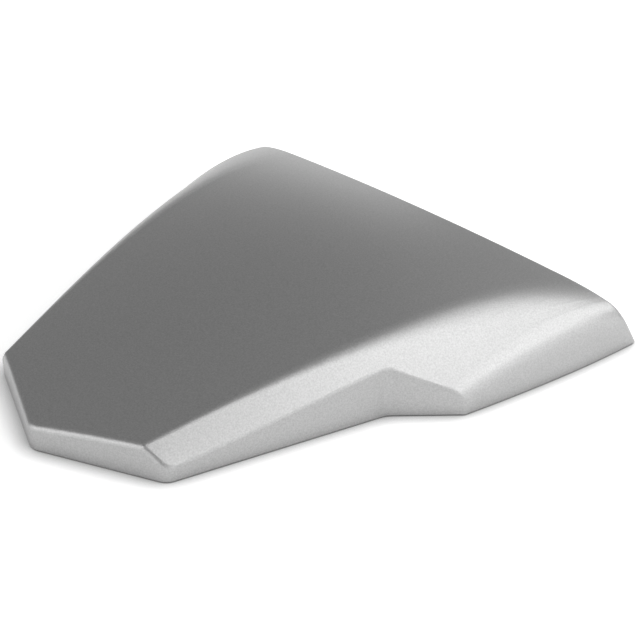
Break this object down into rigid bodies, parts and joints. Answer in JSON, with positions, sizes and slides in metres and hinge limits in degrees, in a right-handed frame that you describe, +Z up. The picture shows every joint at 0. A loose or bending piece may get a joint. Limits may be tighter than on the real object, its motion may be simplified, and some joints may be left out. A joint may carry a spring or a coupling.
{
  "type": "motorbike seat cowl",
  "caption": "Silver moulded cover that closes over a motorbike's passenger seat: a low crowned hood with a pointed tail, stepped side walls and an open arched front end.",
  "frame": {"origin": "middle of the bounding box, level with the bottom rim", "axes": "+Y forward to the rider, towards the wide open end; +X to the rider's right; +Z up"},
  "size_m": [0.2944, 0.2984, 0.0475],
  "materials": {
    "cowl_shell": "satin silver metallic paint over moulded plastic"
  },
  "bodies": {
    "root": {"cowl_shell": "cowl_shell"}
  },
  "joints": []
}
